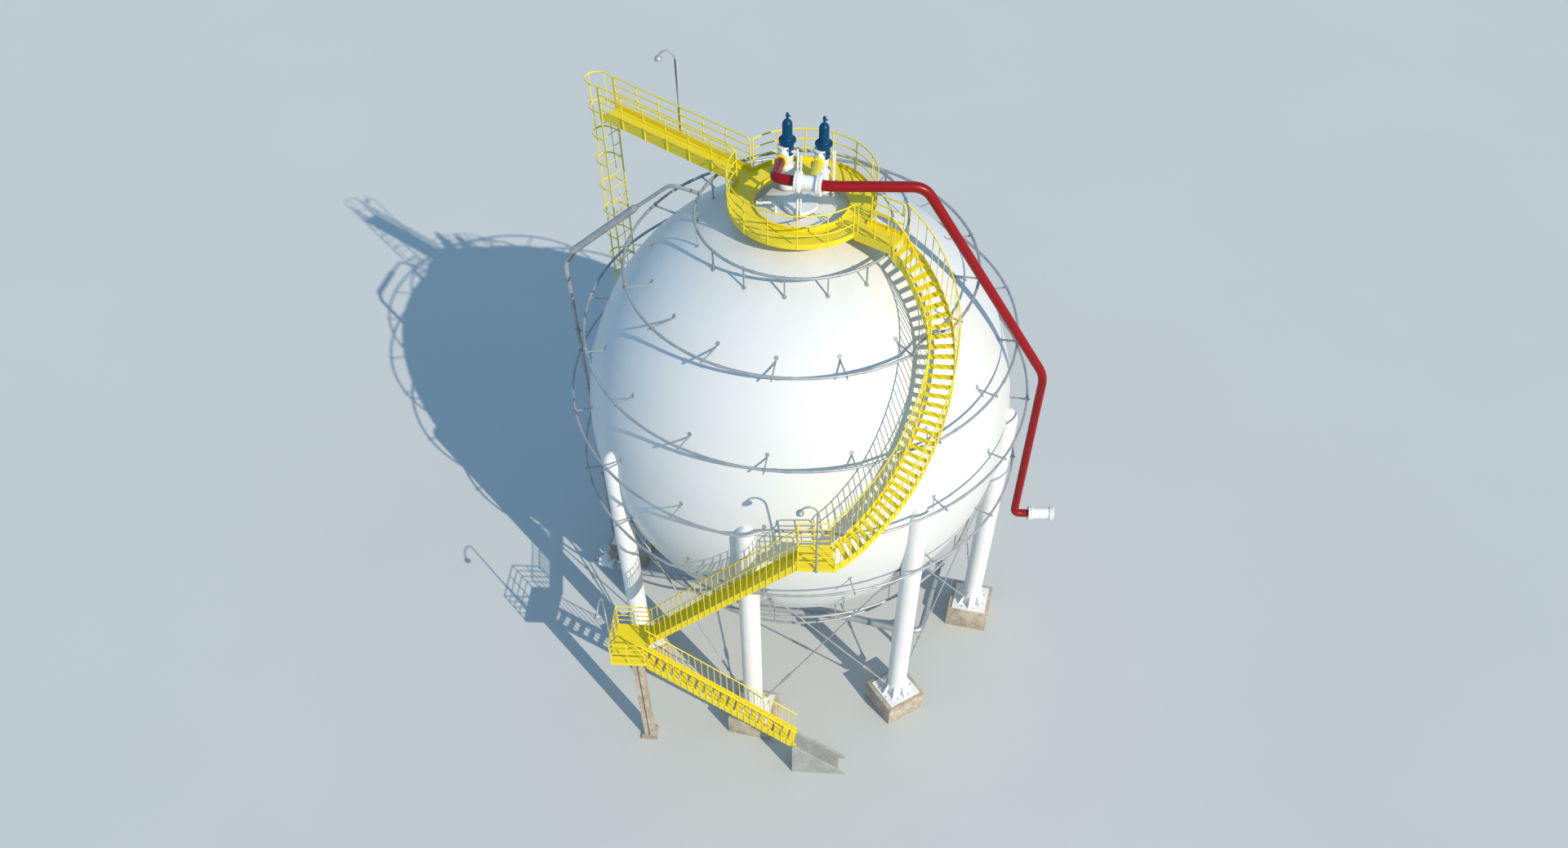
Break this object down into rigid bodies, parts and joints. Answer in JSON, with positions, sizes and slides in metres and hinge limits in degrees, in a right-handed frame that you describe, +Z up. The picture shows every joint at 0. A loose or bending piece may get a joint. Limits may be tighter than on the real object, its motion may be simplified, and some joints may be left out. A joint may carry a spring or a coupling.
{
  "type": "spherical gas tank",
  "caption": "Pressure sphere for liquefied gas on tubular columns with tie rods, yellow stairs and platform, spray rings, relief valves and a red discharge header.",
  "frame": {"origin": "on the ground, straight below the ball's centre", "axes": "+Z up; +Y away from the side with the stairs; +X toward the side where the red header comes down"},
  "size_m": [19.4148, 18.9357, 21.3084],
  "materials": {
    "shell_paint": "chalky white paint, softly mottled, with fine weld seams",
    "column_paint": "white paint with faint streaks",
    "yellow_paint": "bright safety yellow paint, satin, lightly worn",
    "red_paint": "deep red paint, semi-gloss",
    "valve_paint": "white paint, satin, with navy blue bonnets on the relief valves",
    "galvanised": "dull galvanised steel",
    "footing_concrete": "tan weathered concrete with dark stains",
    "step_concrete": "grey cast concrete"
  },
  "bodies": {
    "root": {"shell_top_cap": "shell_paint", "shell_belt": "shell_paint", "shell_bottom_cap": "shell_paint", "column_1": "column_paint", "column_2": "column_paint", "column_3": "column_paint", "column_4": "column_paint", "column_5": "column_paint", "column_6": "column_paint", "column_7": "column_paint", "column_8": "column_paint", "footing_1": "footing_concrete", "footing_2": "footing_concrete", "footing_3": "footing_concrete", "footing_4": "footing_concrete", "footing_5": "footing_concrete", "footing_6": "footing_concrete", "footing_7": "footing_concrete", "footing_8": "footing_concrete", "brace_1": "galvanised", "brace_2": "galvanised", "brace_3": "galvanised", "brace_4": "galvanised", "brace_5": "galvanised", "brace_6": "galvanised", "brace_7": "galvanised", "brace_8": "galvanised", "spray_ring_a": "galvanised", "spray_ring_b": "galvanised", "spray_ring_c": "galvanised", "spray_ring_d": "galvanised", "spray_ring_e": "galvanised", "spray_ring_f": "galvanised", "spray_ring_g": "galvanised", "spray_riser": "galvanised", "top_platform": "yellow_paint", "walkway": "yellow_paint", "ladder": "yellow_paint", "ladder_cage": "yellow_paint", "stair_bridge": "yellow_paint", "upper_stair": "yellow_paint", "upper_rail_inner": "yellow_paint", "upper_rail_outer": "yellow_paint", "middle_landing": "yellow_paint", "middle_stair": "yellow_paint", "lower_landing": "yellow_paint", "lower_stair": "yellow_paint", "landing_post": "footing_concrete", "concrete_steps": "step_concrete", "relief_valve_left": "valve_paint", "relief_valve_right": "valve_paint", "relief_header": "red_paint", "yellow_outlet": "yellow_paint", "manhole": "valve_paint", "angle_post": "valve_paint", "stub_pipe": "valve_paint", "bottom_pipe": "galvanised", "lamp_walkway": "galvanised", "lamp_middle": "galvanised", "lamp_lower": "galvanised"}
  },
  "joints": []
}
